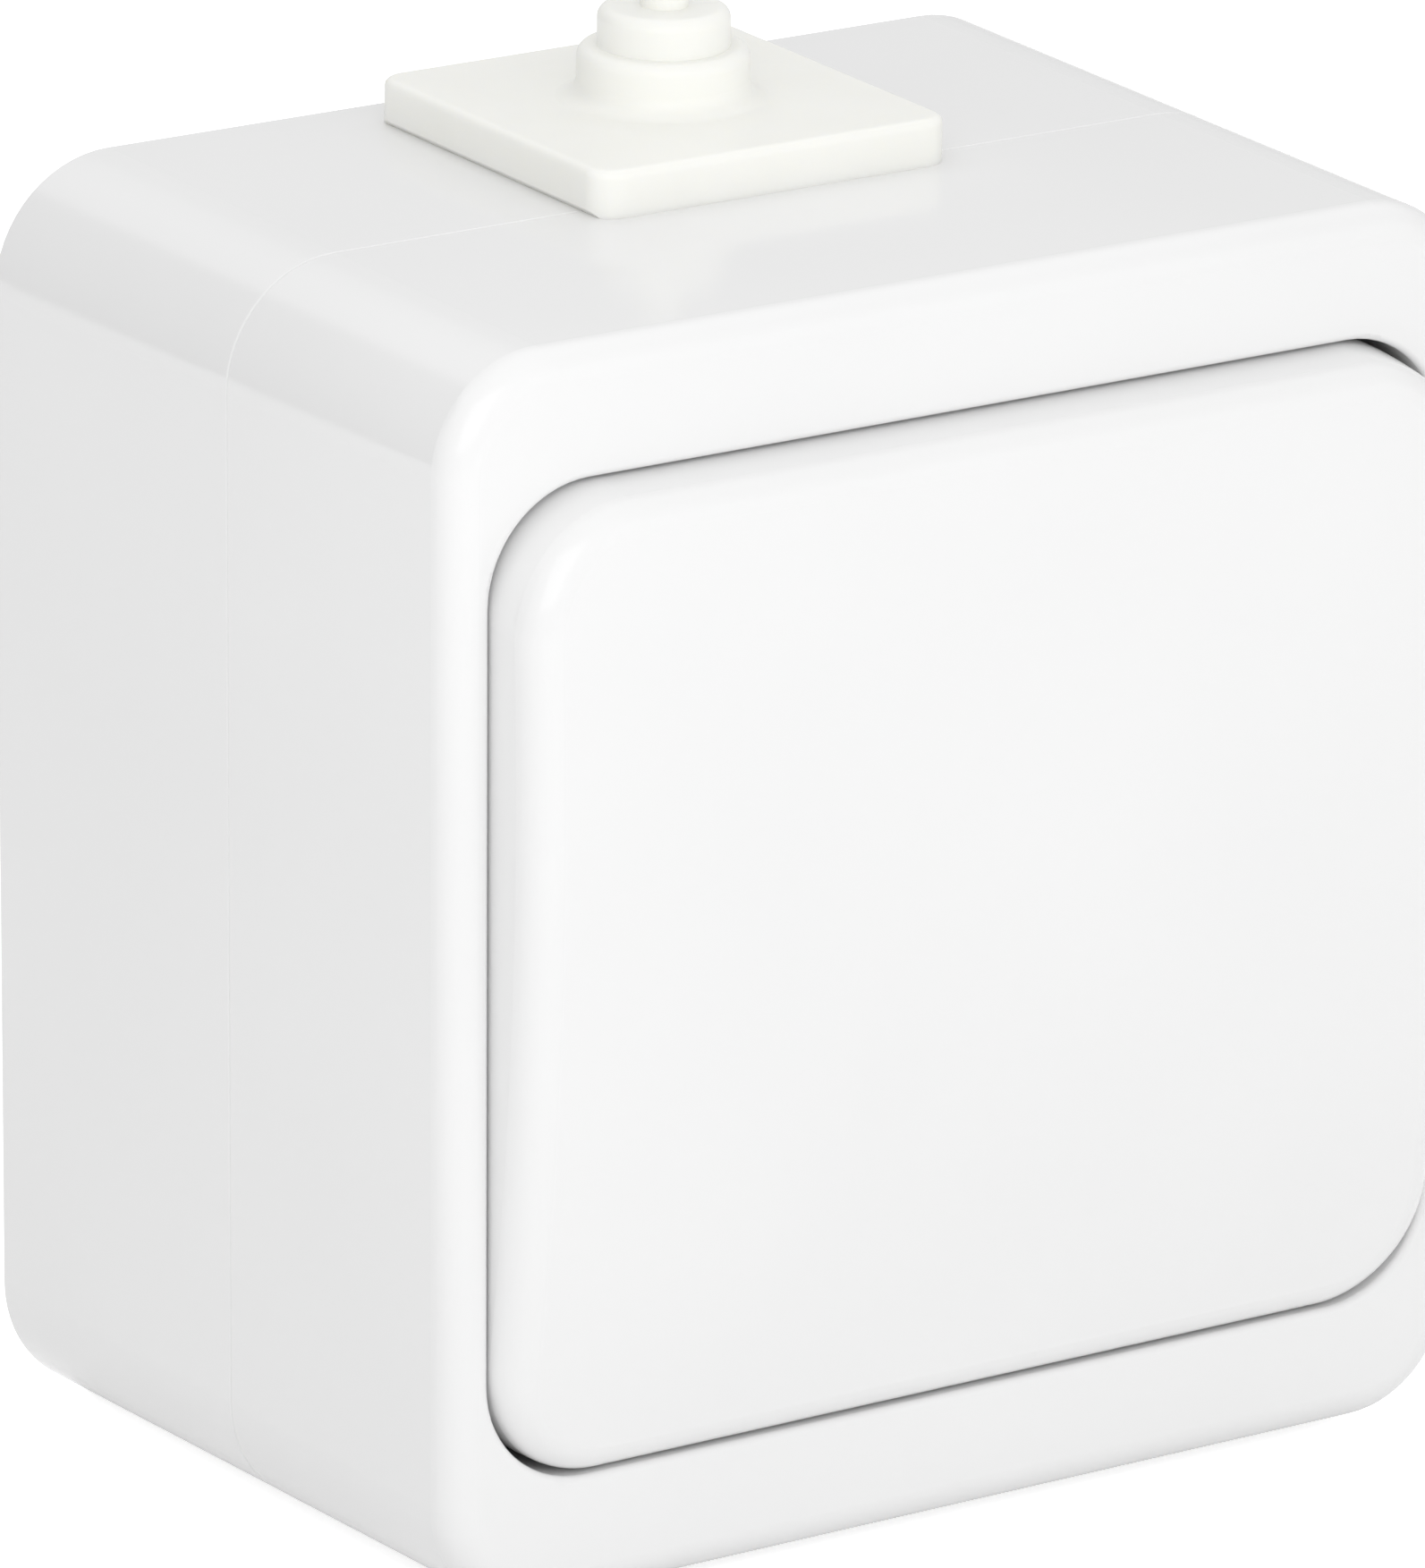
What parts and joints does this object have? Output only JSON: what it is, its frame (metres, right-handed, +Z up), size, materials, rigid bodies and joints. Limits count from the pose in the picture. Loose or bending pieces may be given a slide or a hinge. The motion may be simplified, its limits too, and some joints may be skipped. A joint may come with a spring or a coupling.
{
  "type": "intermediate switch",
  "caption": "Surface-mounted splash-proof intermediate switch with a large rocker, a split housing and a rubber cable gland on top.",
  "frame": {"origin": "centre of the back face, on the wall", "axes": "+Y into the wall, +Z up the wall toward the cable gland, +X to the right seen from the front; the rocker faces -Y"},
  "size_m": [0.0714, 0.0514, 0.0853],
  "materials": {
    "white_plastic": "glossy moulded white",
    "gland_rubber": "soft ivory rubber, satin",
    "seal_rubber": "black soft rubber",
    "insulating_plastic": "dark grey moulded",
    "lever_plastic": "natural moulded",
    "brass_strip": "stamped",
    "contact_silver": "silver contact rivet",
    "plated_steel": "zinc plated",
    "spring_steel": "drawn wire"
  },
  "bodies": {
    "housing": {"rear_housing": "white_plastic", "front_cover": "white_plastic", "cable_gland": "gland_rubber", "housing_seal": "seal_rubber", "mechanism_body": "insulating_plastic", "high_traveller_strip": "brass_strip", "low_traveller_strip": "brass_strip", "fixed_contact_tips": "contact_silver", "clamp_plates": "plated_steel", "terminal_screws": "plated_steel", "insert_screws": "plated_steel", "cover_screws": "plated_steel", "common_strip_left": "brass_strip", "common_strip_right": "brass_strip"},
    "rocker": {"rocker": "white_plastic"},
    "lever": {"toggle_lever": "lever_plastic", "plunger_spring_left": "spring_steel", "plunger_spring_right": "spring_steel"},
    "plunger_left": {"plunger_left": "lever_plastic"},
    "plunger_right": {"plunger_right": "lever_plastic"},
    "contact_left": {"contact_bar_left": "brass_strip", "contact_tips_left": "contact_silver"},
    "contact_right": {"contact_bar_right": "brass_strip", "contact_tips_right": "contact_silver"}
  },
  "joints": [
    {"name": "rocker_tilt", "type": "hinge", "parent": "housing", "child": "rocker", "pos_m": [0, -0.044, 0], "axis": [-1, 0, 0], "range_deg": [0, 6.6]},
    {"name": "lever_swing", "type": "hinge", "parent": "housing", "child": "lever", "pos_m": [0, -0.03098, 0], "axis": [-1, 0, 0], "range_deg": [-10.59, 0]},
    {"name": "contact_left_swing", "type": "hinge", "parent": "housing", "child": "contact_left", "pos_m": [-0.007, -0.01803, 0], "axis": [-1, 0, 0], "range_deg": [0, 18]},
    {"name": "plunger_left_slide", "type": "slide", "parent": "lever", "child": "plunger_left", "axis": [0, -0.9957, 0.0923], "range_m": [0, 0.0008], "stiffness_N_per_m": 300, "springref_m": -0.002, "deforming": ["plunger_spring_left"]},
    {"name": "contact_right_swing", "type": "hinge", "parent": "housing", "child": "contact_right", "pos_m": [0.007, -0.01803, 0], "axis": [-1, 0, 0], "range_deg": [0, 18]},
    {"name": "plunger_right_slide", "type": "slide", "parent": "lever", "child": "plunger_right", "axis": [0, -0.9957, 0.0923], "range_m": [0, 0.0008], "stiffness_N_per_m": 300, "springref_m": -0.002, "deforming": ["plunger_spring_right"]}
  ],
  "couplings": [
    {"joint": "lever_swing", "follows": "rocker_tilt", "ratio": -1.6044},
    {"joint": "contact_left_swing", "follows": "rocker_tilt", "ratio": 2.7273},
    {"joint": "contact_right_swing", "follows": "rocker_tilt", "ratio": 2.7273}
  ]
}
